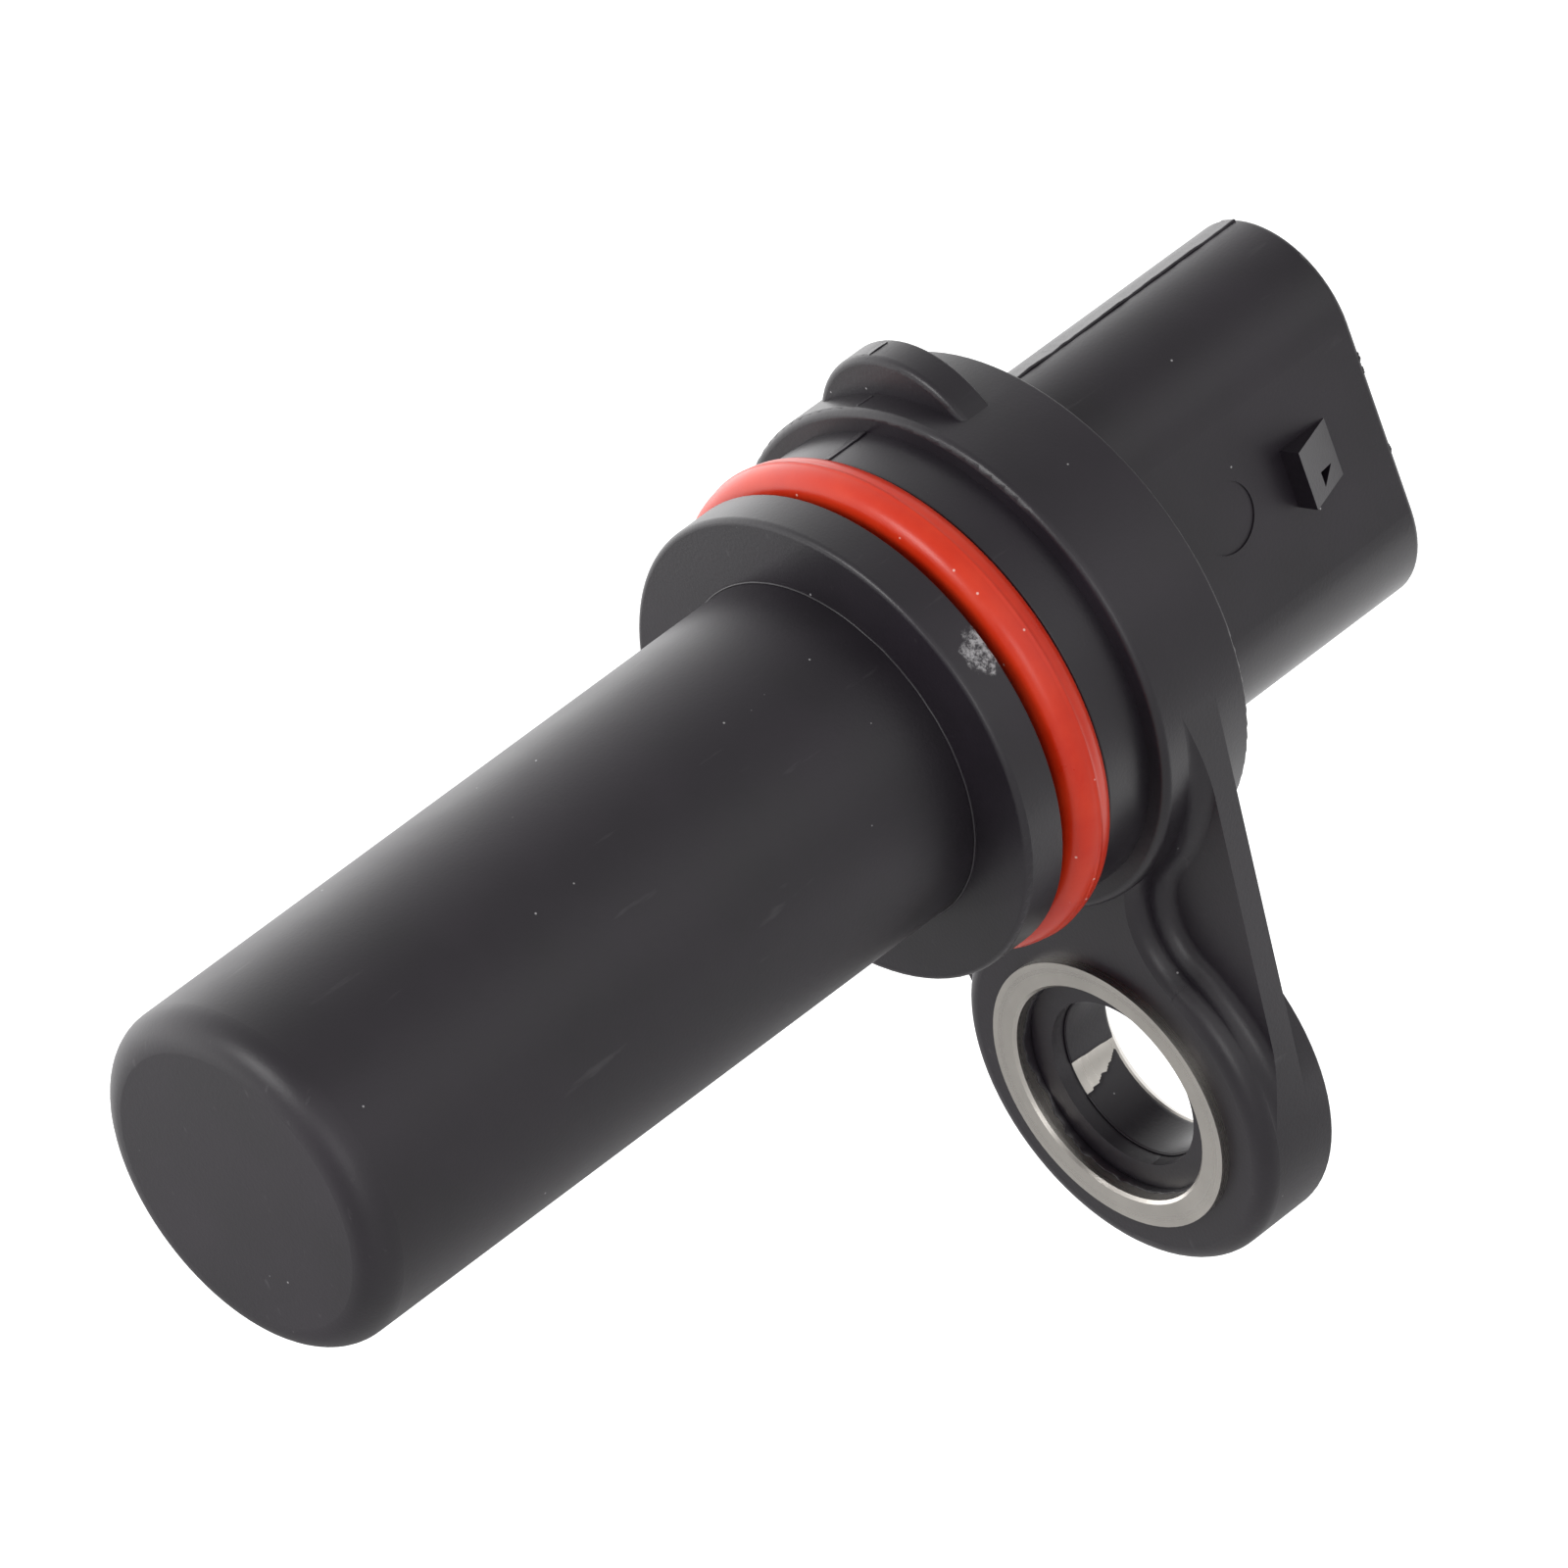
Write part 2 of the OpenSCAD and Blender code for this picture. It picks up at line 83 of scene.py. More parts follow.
def add_node(tree, kind, inputs=None, stops=(), **settings):
    """Adds a node with its properties and sockets, and its colour stops of place and hex colour or grey."""
    node = tree.nodes.new(kind)
    for name, value in settings.items():
        setattr(node, name, value)
    fill_sockets(tree, node, inputs or {})
    for _ in stops[2:]:
        node.color_ramp.elements.new(0.5)
    for i, (place, colour) in enumerate(stops):
        stop = node.color_ramp.elements[i]
        stop.position = place
        stop.color = linear(colour) if isinstance(colour, str) else [colour] * 3 + [1.0]
    return node


def new_material(name):
    """A material with one Principled shader; gives back the material, its tree and the shader."""
    material = bpy.data.materials.new(name)
    material.use_nodes = True
    shader = material.node_tree.nodes["Principled BSDF"]
    return material, material.node_tree, shader


def finish_node(node, material):
    """Gives a CAD node, whose shape is right as it is, its finished material."""
    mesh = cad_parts[node].data
    mesh.materials.clear()
    mesh.materials.append(material)


def dull_plastic(name, dark, pale):
    """Plastic without black pigment: dull, with a cloudy tone and a fine blasted grain."""
    cloud_size = 5 * MM
    grain_size = 0.2 * MM
    grain_depth = 0.008 * MM
    material, tree, shader = new_material(name)
    place = add_node(tree, "ShaderNodeTexCoord").outputs["Object"]
    cloud = add_node(tree, "ShaderNodeTexNoise", {"Vector": place, "Scale": 1 / cloud_size, "Detail": 3.0})
    tone = add_node(tree, "ShaderNodeValToRGB", {"Fac": cloud.outputs["Fac"]},
                    stops=[(noise_low, dark), (noise_high, pale)])
    grain = add_node(tree, "ShaderNodeTexNoise", {"Vector": place, "Scale": 1 / grain_size, "Detail": 2.0})
    bump = add_node(tree, "ShaderNodeBump",
                    {"Height": grain.outputs["Fac"], "Strength": 0.5, "Distance": grain_depth})
    fill_sockets(tree, shader, {"Base Color": tone.outputs["Color"], "Roughness": 0.6,
                                "Normal": bump.outputs["Normal"]})
    return material


finish_node("coil_former", dull_plastic("natural_nylon_former", "#ab9470", "#c2ad88"))

# Winding and its tape
# Fine enamelled copper wire laid turn on turn, closed by one wrap of yellow film.
# The turns are too fine to model, so they are rings of bump at the wire's pitch.


def wound_copper(name, wire_pitch):
    """Enamelled copper: red-brown metal under clear enamel, ringed at the wire's pitch along X."""
    cloud_size = 2 * MM
    ring_depth = 0.02 * MM
    material, tree, shader = new_material(name)
    place = add_node(tree, "ShaderNodeTexCoord").outputs["Object"]
    apart = add_node(tree, "ShaderNodeSeparateXYZ", {"Vector": place})
    turn = add_node(tree, "ShaderNodeMath", {0: apart.outputs["X"], 1: 2 * math.pi / wire_pitch},
                    operation="MULTIPLY")
    rings = add_node(tree, "ShaderNodeMath", {0: turn.outputs["Value"]}, operation="SINE")
    cloud = add_node(tree, "ShaderNodeTexNoise", {"Vector": place, "Scale": 1 / cloud_size, "Detail": 2.0})
    tone = add_node(tree, "ShaderNodeValToRGB", {"Fac": cloud.outputs["Fac"]},
                    stops=[(noise_low, "#8f4a1c"), (noise_high, "#b3662c")])
    bump = add_node(tree, "ShaderNodeBump",
                    {"Height": rings.outputs["Value"], "Strength": 0.8, "Distance": ring_depth})
    fill_sockets(tree, shader, {"Base Color": tone.outputs["Color"], "Normal": bump.outputs["Normal"],
                                "Metallic": 0.9, "Roughness": 0.3, "Coat Weight": 0.5})
    return material


finish_node("winding", wound_copper("enamelled_copper_winding", 0.12 * MM))
finish_node("winding_tape", dull_plastic("polyester_tape_film", "#b79f3c", "#cdb650"))

# Pole pin and magnet
# A soft iron pin carries the field to the tip, and a pressed ferrite magnet sits behind it.
# The pin is drawn bright bar, and the ferrite is grey-black and slightly sooty.


def plain_metal(name, dark, pale, metallic, rough_low, rough_high):
    """Bare metal or ferrite: a cloudy tone with an uneven sheen."""
    cloud_size = 1.5 * MM
    material, tree, shader = new_material(name)
    place = add_node(tree, "ShaderNodeTexCoord").outputs["Object"]
    cloud = add_node(tree, "ShaderNodeTexNoise", {"Vector": place, "Scale": 1 / cloud_size, "Detail": 4.0})
    tone = add_node(tree, "ShaderNodeValToRGB", {"Fac": cloud.outputs["Fac"]},
                    stops=[(noise_low, dark), (noise_high, pale)])
    sheen = add_node(tree, "ShaderNodeValToRGB", {"Fac": cloud.outputs["Fac"]},
                     stops=[(noise_low, rough_low), (noise_high, rough_high)])
    fill_sockets(tree, shader, {"Base Color": tone.outputs["Color"], "Roughness": sheen.outputs["Color"],
                                "Metallic": metallic})
    return material


finish_node("pole_pin", plain_metal("soft_iron_pole", "#7b7a78", "#939290", 1.0, 0.3, 0.45))
finish_node("magnet", plain_metal("pressed_ferrite", "#2c2c2f", "#3d3d41", 0.2, 0.55, 0.7))

# Terminals and leads
# Two stamped brass strips, tinned, whose ends are the blades in the socket. The winding's two ends
# run back to their lugs. Stamping leaves the blades' edges slightly rounded.


def fit_piece(piece, material, slot, *nodes):
    """Gives a finished piece its material and its body, and hides the CAD nodes it stands for; the slot is
    not used.
    """
    piece.data.materials.clear()
    piece.data.materials.append(material)
    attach(piece, "root")
    if nodes:
        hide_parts(*nodes)


def mesh_piece(name, shape, smooth):
    """Turns a bmesh into an object at the origin."""
    bmesh.ops.recalc_face_normals(shape, faces=shape.faces)
    mesh = bpy.data.meshes.new(name)
    shape.to_mesh(mesh)
    shape.free()
    mesh.polygons.foreach_set("use_smooth", [smooth] * len(mesh.polygons))
    piece = bpy.data.objects.new(name, mesh)
    bpy.context.scene.collection.objects.link(piece)
    return piece


tinned_brass = plain_metal("tinned_brass", "#a9abad", "#c3c5c6", 1.0, 0.22, 0.38)
blade_edge_r = 0.09 * MM
weld_distance = 0.001 * MM
flat_angle = math.radians(1)
for side in ("upper", "lower"):
    strip = bmesh.new()
    strip.from_mesh(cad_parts[f"{side}_terminal"].data)
    bmesh.ops.remove_doubles(strip, verts=strip.verts, dist=weld_distance)
    bmesh.ops.dissolve_limit(strip, angle_limit=flat_angle, verts=strip.verts, edges=strip.edges)
    bmesh.ops.bevel(strip, geom=list(strip.edges), offset=blade_edge_r, segments=2, affect="EDGES",
                    profile=0.5)
    stamped = mesh_piece(f"{side}_terminal_stamped", strip, False)
    fit_piece(stamped, tinned_brass, "terminal_tin", f"{side}_terminal")
lead_copper = plain_metal("lead_copper", "#9c5422", "#b86c34", 0.9, 0.3, 0.4)
finish_node("start_lead", lead_copper)
finish_node("finish_lead", lead_copper)

# Probe cup
# A thin deep cup moulded in black glass-filled nylon. It stands ahead of the collar and keeps oil
# off the coil. It is smooth from a polished mould, with a faint grain and light handling scuffs.

# A Mix node repeats its socket names for each kind of data, so its colour sockets go by number
mix_a = 6
mix_b = 7
mix_result = 2


def black_nylon(name, rough, scuffs, scrape_at=None, scrape_r=None):
    """Black glass-filled nylon: satin, finely grained, with pale scuffs, dust and maybe one scrape."""
    cloud_size = 9 * MM
    grain_size = 0.18 * MM
    grain_depth = 0.014 * MM
    streak_turn = (0.4, 0.2, 0.5)
    streaks_per_metre = (180, 1900, 900)
    dust_spacing = 1.3 * MM
    tear_size = 0.7 * MM
    torn_grain = 0.26 * MM
    material, tree, shader = new_material(name)
    place = add_node(tree, "ShaderNodeTexCoord").outputs["Object"]
    cloud = add_node(tree, "ShaderNodeTexNoise",
                     {"Vector": place, "Scale": 1 / cloud_size, "Detail": 3.0, "Roughness": 0.6})
    grain = add_node(tree, "ShaderNodeTexNoise",
                     {"Vector": place, "Scale": 1 / grain_size, "Detail": 2.0, "Roughness": 0.6})
    colour = add_node(tree, "ShaderNodeValToRGB", {"Fac": cloud.outputs["Fac"]},
                      stops=[(noise_low, "#18141a"), (noise_high, "#211b23")]).outputs["Color"]

    # Scuffs are long thin streaks
    streak_place = add_node(tree, "ShaderNodeMapping",
                            {"Vector": place, "Rotation": streak_turn, "Scale": streaks_per_metre})
    streak = add_node(tree, "ShaderNodeTexNoise",
                      {"Vector": streak_place.outputs["Vector"], "Scale": 1.0, "Detail": 4.0})
    scuffed = add_node(tree, "ShaderNodeValToRGB", {"Fac": streak.outputs["Fac"]},
                       stops=[(0.68, 0.0), (0.76, 1.0)])
    scuff = add_node(tree, "ShaderNodeMath", {0: scuffed.outputs["Color"], 1: scuffs}, operation="MULTIPLY")

    # Dust sits in a few cells only
    cells = add_node(tree, "ShaderNodeTexVoronoi", {"Vector": place, "Scale": 1 / dust_spacing})
    chosen = add_node(tree, "ShaderNodeValToRGB", {"Fac": cells.outputs["Color"]},
                      stops=[(0.66, 0.0), (0.68, 1.0)])
    speck = add_node(tree, "ShaderNodeValToRGB", {"Fac": cells.outputs["Distance"]},
                     stops=[(0.03, 0.95), (0.05, 0.0)])
    dust = add_node(tree, "ShaderNodeMath", {0: chosen.outputs["Color"], 1: speck.outputs["Color"]},
                    operation="MULTIPLY")
    marks = [scuff, dust]

    # A scrape is a torn patch with a jagged edge round one point
    if scrape_at:
        tear = add_node(tree, "ShaderNodeTexNoise", {"Vector": place, "Scale": 1 / tear_size, "Detail": 3.0})
        jagged = add_node(tree, "ShaderNodeVectorMath",
                          {0: tear.outputs["Color"], 1: [scrape_r] * 3, 2: place}, operation="MULTIPLY_ADD")
        middle = [c + 0.5 * scrape_r for c in scrape_at]
        away = add_node(tree, "ShaderNodeVectorMath", {0: jagged.outputs["Vector"], 1: middle},
                        operation="DISTANCE")
        near = add_node(tree, "ShaderNodeMapRange",
                        {"Value": away.outputs["Value"], "From Min": 0.75 * scrape_r,
                         "From Max": 0.9 * scrape_r, "To Min": 1.0, "To Max": 0.0})
        torn = add_node(tree, "ShaderNodeTexNoise",
                        {"Vector": place, "Scale": 1 / torn_grain, "Detail": 5.0, "Roughness": 0.7})
        fuzz = add_node(tree, "ShaderNodeValToRGB", {"Fac": torn.outputs["Fac"]},
                        stops=[(0.42, 0.05), (0.6, 1.0)])
        marks.append(add_node(tree, "ShaderNodeMath",
                              {0: near.outputs["Result"], 1: fuzz.outputs["Color"]}, operation="MULTIPLY"))
    for mark in marks:
        colour = add_node(tree, "ShaderNodeMix",
                          {"Factor": mark.outputs["Value"], mix_a: colour, mix_b: linear("#a19fa1")},
                          data_type="RGBA").outputs[mix_result]
    satin = add_node(tree, "ShaderNodeValToRGB", {"Fac": cloud.outputs["Fac"]},
                     stops=[(noise_low, rough), (noise_high, rough + 0.07)])
    bump = add_node(tree, "ShaderNodeBump",
                    {"Height": grain.outputs["Fac"], "Strength": 0.5, "Distance": grain_depth})
    fill_sockets(tree, shader, {"Base Color": colour, "Roughness": satin.outputs["Color"],
                                "Normal": bump.outputs["Normal"], "IOR": 1.53})
    return material


finish_node("probe_cup", black_nylon("black_nylon_cup", rough=0.4, scuffs=0.06))

# Moulded body
# The same nylon shot round cup, terminals and bush in one go: collar, flange, lobe, ear and plug
# shroud. One knock has torn a small patch of the front land beside the seal.

pilot_r = 12.5 * MM
scrape_x = 2.2 * MM
scrape_turn = math.radians(-63)
scrape_point = (scrape_x, pilot_r * math.sin(scrape_turn), pilot_r * math.cos(scrape_turn))
body_nylon = black_nylon("black_nylon_body", rough=0.34, scuffs=0.04, scrape_at=scrape_point,
                         scrape_r=1.4 * MM)
finish_node("body", body_nylon)

# Parting seam and rim nibs
# Where the mould's two halves met, a thin ragged lip of the body's nylon runs along the top, a little
# higher on the far half. The mould left a few small nibs where it closed on the plug's rim.


def node_tree(name, **sockets):
    """A Geometry Nodes tree with the named inputs; gives back the tree and its input sockets."""
    tree = bpy.data.node_groups.new(name, "GeometryNodeTree")
    tree.interface.new_socket("Geometry", in_out="INPUT", socket_type="NodeSocketGeometry")
    for label, kind in sockets.items():
        tree.interface.new_socket(label, in_out="INPUT", socket_type=kind)
    tree.interface.new_socket("Geometry", in_out="OUTPUT", socket_type="NodeSocketGeometry")
    return tree, add_node(tree, "NodeGroupInput").outputs


def end_tree(tree, geometry, material):
    """Ends a tree: instances become plain geometry, which gets its material."""
    whole = add_node(tree, "GeometryNodeRealizeInstances", {"Geometry": geometry})
    painted = add_node(tree, "GeometryNodeSetMaterial",
                       {"Geometry": whole.outputs["Geometry"], "Material": material})
    add_node(tree, "NodeGroupOutput", {"Geometry": painted.outputs["Geometry"]})


def grown_piece(name, tree, path, **values):
    """Runs a tree on a path mesh with the values given, and gives back the result as a plain object."""
    source = bpy.data.objects.new(f"{name}_path", path)
    bpy.context.scene.collection.objects.link(source)
    modifier = source.modifiers.new(name, "NODES")
    modifier.node_group = tree
    for socket in tree.interface.items_tree:
        if socket.in_out == "INPUT" and socket.name in values:
            modifier[socket.identifier] = values[socket.name]
    mesh = bpy.data.meshes.new_from_object(source.evaluated_get(bpy.context.evaluated_depsgraph_get()))
    bpy.data.objects.remove(source)
    piece = bpy.data.objects.new(name, mesh)
    bpy.context.scene.collection.objects.link(piece)
    return piece


seam_tree, seam_in = node_tree("seam_lip", Step="NodeSocketFloat", Wander="NodeSocketFloat",
                               Ripple="NodeSocketFloat", Seed="NodeSocketInt")
seam_curve = add_node(seam_tree, "GeometryNodeMeshToCurve", {"Mesh": seam_in["Geometry"]})
seam_even = add_node(seam_tree, "GeometryNodeResampleCurve",
                     {"Curve": seam_curve.outputs["Curve"], "Length": seam_in["Step"]}, mode="LENGTH")
seam_place = add_node(seam_tree, "GeometryNodeInputPosition")
seam_noise = add_node(seam_tree, "ShaderNodeTexNoise",
                      {"Vector": seam_place.outputs["Position"], "W": seam_in["Seed"],
                       "Scale": seam_in["Ripple"], "Detail": 2.0}, noise_dimensions="4D")
seam_centred = add_node(seam_tree, "ShaderNodeVectorMath",
                        {0: seam_noise.outputs["Color"], 1: (0.5, 0.5, 0.5)}, operation="SUBTRACT")
seam_shift = add_node(seam_tree, "ShaderNodeVectorMath",
                      {0: seam_centred.outputs["Vector"], "Scale": seam_in["Wander"]}, operation="SCALE")
seam_moved = add_node(seam_tree, "GeometryNodeSetPosition",
                      {"Geometry": seam_even.outputs["Curve"], "Offset": seam_shift.outputs["Vector"]})
seam_size = add_node(seam_tree, "GeometryNodeInputNamedAttribute", {"Name": "size"}, data_type="FLOAT")
lip_h = 0.085 * MM
lip_w = 1.0 * MM
lip_crest_w = 0.1 * MM
lip_root = 0.08 * MM
lip_section = add_node(seam_tree, "GeometryNodeCurvePrimitiveQuadrilateral",
                       {"Point 1": (-lip_w, lip_root, 0.0), "Point 2": (-lip_crest_w, -lip_h, 0.0),
                        "Point 3": (0.0, -lip_h, 0.0), "Point 4": (0.0, lip_root, 0.0)}, mode="POINTS")
seam_swept = add_node(seam_tree, "GeometryNodeCurveToMesh",
                      {"Curve": seam_moved.outputs["Geometry"], "Profile Curve": lip_section.outputs["Curve"],
                       "Scale": seam_size.outputs["Attribute"], "Fill Caps": True})
end_tree(seam_tree, seam_swept.outputs["Mesh"], body_nylon)

# Each run has its share of the lip's full size and its points in millimetres
seam_runs = {"land": (0.6, [(5.7, 0.05, 12.5), (8.3, 0.05, 12.5)]),
             "flange": (0.4, [(8.6, 0.75, 13.54), (8.9, 0.7, 13.58), (9.8, 0.6, 13.59)]),
             "lobe": (0.4, [(10.05, 0.42, 15.46), (10.3, 0.38, 15.59), (11.4, 0.3, 15.6)]),
             "shroud": (1.0, [(14.25, 0.15, 10.05), (33.2, 0.15, 10.05)])}
for run, (size, points) in seam_runs.items():
    path = bpy.data.meshes.new(f"seam_{run}")
    path.from_pydata([[c * MM for c in point] for point in points],
                     [(i, i + 1) for i in range(len(points) - 1)], [])
    path.attributes.new("size", "FLOAT", "POINT").data.foreach_set("value", [size] * len(points))
    lip = grown_piece(f"seam_lip_{run}", seam_tree, path, Step=0.12 * MM, Wander=0.14 * MM,
                      Ripple=1 / (0.9 * MM), Seed=3)
    fit_piece(lip, body_nylon, "body_plastic")

# A Random Value node repeats its socket names too, so its number sockets go by number
random_min = 2
random_max = 3
random_result = 1
nib_tree, nib_in = node_tree("rim_nibs", Radius="NodeSocketFloat", Seed="NodeSocketInt")
nib_ball = add_node(nib_tree, "GeometryNodeMeshIcoSphere", {"Radius": nib_in["Radius"], "Subdivisions": 2})
nib_size = add_node(nib_tree, "FunctionNodeRandomValue",
                    {random_min: 0.5, random_max: 1.0, "Seed": nib_in["Seed"]}, data_type="FLOAT")
nib_set = add_node(nib_tree, "GeometryNodeInstanceOnPoints",
                   {"Points": nib_in["Geometry"], "Instance": nib_ball.outputs["Mesh"],
                    "Scale": nib_size.outputs[random_result]})
end_tree(nib_tree, nib_set.outputs["Instances"], body_nylon)

# Rows of nibs, each with its place across and up in millimetres, and its count
nib_rows = ((-5.1, 2.85, 4), (-5.1, 2.2, 3), (-5.1, -2.15, 4), (-1.75, -10.2, 3))
nib_x = 33.34 * MM
nib_pitch_mm = 0.11
nib_places = []
for y, z, count in nib_rows:
    nib_places += [(nib_x, y * MM, (z + nib_pitch_mm * i) * MM) for i in range(count)]
nib_points = bpy.data.meshes.new("rim_points")
nib_points.from_pydata(nib_places, [], [])
nibs = grown_piece("rim_nibs", nib_tree, nib_points, Radius=0.16 * MM, Seed=5)
fit_piece(nibs, body_nylon, "body_plastic")

# Seal ring
# A red fluorine rubber ring of round cord, pushed over the front land into the groove.
# It is pressed in two halves, so a thin flash line runs round its outside, and the groove's rear wall
# squeezes it a little square.


def pressed_rubber(name):
    """Red rubber: soft satin, slightly cloudy, with fine dust held on its surface."""
    cloud_size = 4 * MM
    dust_spacing = 0.9 * MM
    grain_size = 0.15 * MM
    grain_depth = 0.005 * MM
    material, tree, shader = new_material(name)
    place = add_node(tree, "ShaderNodeTexCoord").outputs["Object"]
    cloud = add_node(tree, "ShaderNodeTexNoise",
                     {"Vector": place, "Scale": 1 / cloud_size, "Detail": 4.0, "Roughness": 0.65})
    red = add_node(tree, "ShaderNodeValToRGB", {"Fac": cloud.outputs["Fac"]},
                   stops=[(noise_low, "#c5260b"), (noise_high, "#d13617")])
    cells = add_node(tree, "ShaderNodeTexVoronoi", {"Vector": place, "Scale": 1 / dust_spacing})
    chosen = add_node(tree, "ShaderNodeValToRGB", {"Fac": cells.outputs["Color"]},
                      stops=[(0.62, 0.0), (0.64, 1.0)])
    speck = add_node(tree, "ShaderNodeValToRGB", {"Fac": cells.outputs["Distance"]},
                     stops=[(0.05, 0.6), (0.09, 0.0)])
    dust = add_node(tree, "ShaderNodeMath", {0: chosen.outputs["Color"], 1: speck.outputs["Color"]},
                    operation="MULTIPLY")
    dusty = add_node(tree, "ShaderNodeMix",
                     {"Factor": dust.outputs["Value"], mix_a: red.outputs["Color"], mix_b: linear("#f0d8d0")},
                     data_type="RGBA")
    satin = add_node(tree, "ShaderNodeValToRGB", {"Fac": cloud.outputs["Fac"]},
                     stops=[(noise_low, 0.26), (noise_high, 0.36)])
    grain = add_node(tree, "ShaderNodeTexNoise", {"Vector": place, "Scale": 1 / grain_size, "Detail": 2.0})
    bump = add_node(tree, "ShaderNodeBump",
                    {"Height": grain.outputs["Fac"], "Strength": 0.4, "Distance": grain_depth})
    fill_sockets(tree, shader, {"Base Color": dusty.outputs[mix_result], "Roughness": satin.outputs["Color"],
                                "Normal": bump.outputs["Normal"], "IOR": 1.45})
    return material


seal_low, seal_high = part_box("seal_ring")
seal_cord_r = (seal_high.x - seal_low.x) / 2
seal_ring_r = seal_high.y - seal_cord_r
seal_squeeze = 0.1 * MM
seal_fullness = 2.4
seal_x = (seal_low.x + seal_high.x) / 2 + seal_squeeze
seal_flash_h = 0.04 * MM
seal_flash_half = math.radians(2.2)
seal_steps = 256
seal_cord_steps = 48
seal_section = [(seal_cord_r + seal_flash_h, 0.0)]
for i in range(seal_cord_steps):
    turn = seal_flash_half + (2 * math.pi - 2 * seal_flash_half) * i / (seal_cord_steps - 1)
    out, along = math.cos(turn), math.sin(turn)
    full = (abs(out) ** seal_fullness + abs(along) ** seal_fullness) ** (-1 / seal_fullness)
    seal_section.append((seal_cord_r * full * out, seal_cord_r * full * along))


def turned_ring(section_at, centre_r, centre_x, centre_z, steps):
    """Turns a closed section of outward and lengthwise offsets, which may change with the turn, about an
    X axis at centre_z."""
    shape = bmesh.new()
    rings = []
    for i in range(steps):
        turn = 2 * math.pi * i / steps
        rings.append([shape.verts.new((centre_x + along, (centre_r + out) * math.sin(turn),
                                       centre_z + (centre_r + out) * math.cos(turn)))
                      for out, along in section_at(turn)])
    for i, ring in enumerate(rings):
        after = rings[(i + 1) % steps]
        for j in range(len(ring)):
            k = (j + 1) % len(ring)
            shape.faces.new((ring[j], ring[k], after[k], after[j]))
    return shape


seal_shape = turned_ring(lambda turn: seal_section, seal_ring_r, seal_x, 0.0, seal_steps)
seal = mesh_piece("seal_ring_pressed", seal_shape, True)
fit_piece(seal, pressed_rubber("red_fluorine_rubber"), "seal_rubber", "seal_ring")

# Bolt bush
# A turned steel sleeve that takes the bolt's clamping load, moulded into the ear.
# Its faces are turned on a lathe, so fine rings run round the bolt's axis.

bush_low, bush_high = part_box("bolt_bush")
bolt_z = (bush_low.z + bush_high.z) / 2


def turned_steel(name, centre_z):
    """Lathe-turned steel: grey metal with fine rings round an X axis at centre_z."""
    cloud_size = 3 * MM
    ring_size = 0.25 * MM
    ring_depth = 0.008 * MM
    material, tree, shader = new_material(name)
    place = add_node(tree, "ShaderNodeTexCoord").outputs["Object"]
    centred = add_node(tree, "ShaderNodeMapping", {"Vector": place, "Location": (0.0, 0.0, -centre_z)})
    apart = add_node(tree, "ShaderNodeSeparateXYZ", {"Vector": centred.outputs["Vector"]})
    flat = add_node(tree, "ShaderNodeCombineXYZ", {"Y": apart.outputs["Y"], "Z": apart.outputs["Z"]})
    radius = add_node(tree, "ShaderNodeVectorMath", {0: flat.outputs["Vector"]}, operation="LENGTH")
    tool = add_node(tree, "ShaderNodeCombineXYZ", {"X": radius.outputs["Value"], "Y": apart.outputs["X"]})
    marks = add_node(tree, "ShaderNodeTexNoise",
                     {"Vector": tool.outputs["Vector"], "Scale": 1 / ring_size, "Detail": 3.0})
    cloud = add_node(tree, "ShaderNodeTexNoise", {"Vector": place, "Scale": 1 / cloud_size, "Detail": 4.0})
    tone = add_node(tree, "ShaderNodeMix",
                    {"Factor": cloud.outputs["Fac"], mix_a: linear("#b3afa9"), mix_b: linear("#d2cdc6")},
                    data_type="RGBA")
    sheen = add_node(tree, "ShaderNodeValToRGB", {"Fac": marks.outputs["Fac"]},
                     stops=[(noise_low, 0.24), (noise_high, 0.36)])
    bump = add_node(tree, "ShaderNodeBump",
                    {"Height": marks.outputs["Fac"], "Strength": 0.5, "Distance": ring_depth})
    fill_sockets(tree, shader, {"Base Color": tone.outputs[mix_result], "Roughness": sheen.outputs["Color"],
                                "Normal": bump.outputs["Normal"], "Metallic": 1.0})
    return material


finish_node("bolt_bush", turned_steel("turned_bush_steel", bolt_z))

# Flash
# Nylon that crept past the mould's cores. A film lines the bush's bore but for one bare strip of steel,
# a ragged edge climbs the counterbore's wall, and a sharp lip stands round the cup's root.

flash_steps = 288


def ragged(turn, along, fineness, seed):
    """A smooth random value from -1 to 1 that closes on itself round the ring, finer as fineness grows."""
    return noise.noise((fineness * math.sin(turn) + seed, fineness * math.cos(turn), along))


bore_r = 4.5 * MM
film_front_x = bush_low.x + 1.95 * MM
film_rear_x = bush_high.x - 0.52 * MM
film_len = film_rear_x - film_front_x
film_t = 0.05 * MM
film_sunk = 0.01 * MM
film_back = 0.04 * MM
film_fade = 0.12 * MM
film_rows = 30
# Degrees of turn from the top: the bare strip's two sides, and how far each moves towards the rear
bare_low_side = 91.0
bare_low_drift = 2.5
bare_high_side = 113.0
bare_high_drift = -14.0
bare_high_bend = 1.8
bare_high_wave = 2.5
bare_rear_margin = 0.1 * MM
# The turn is counted from the far side of the strip, so that both its sides lie in one count
wrap_from = -150


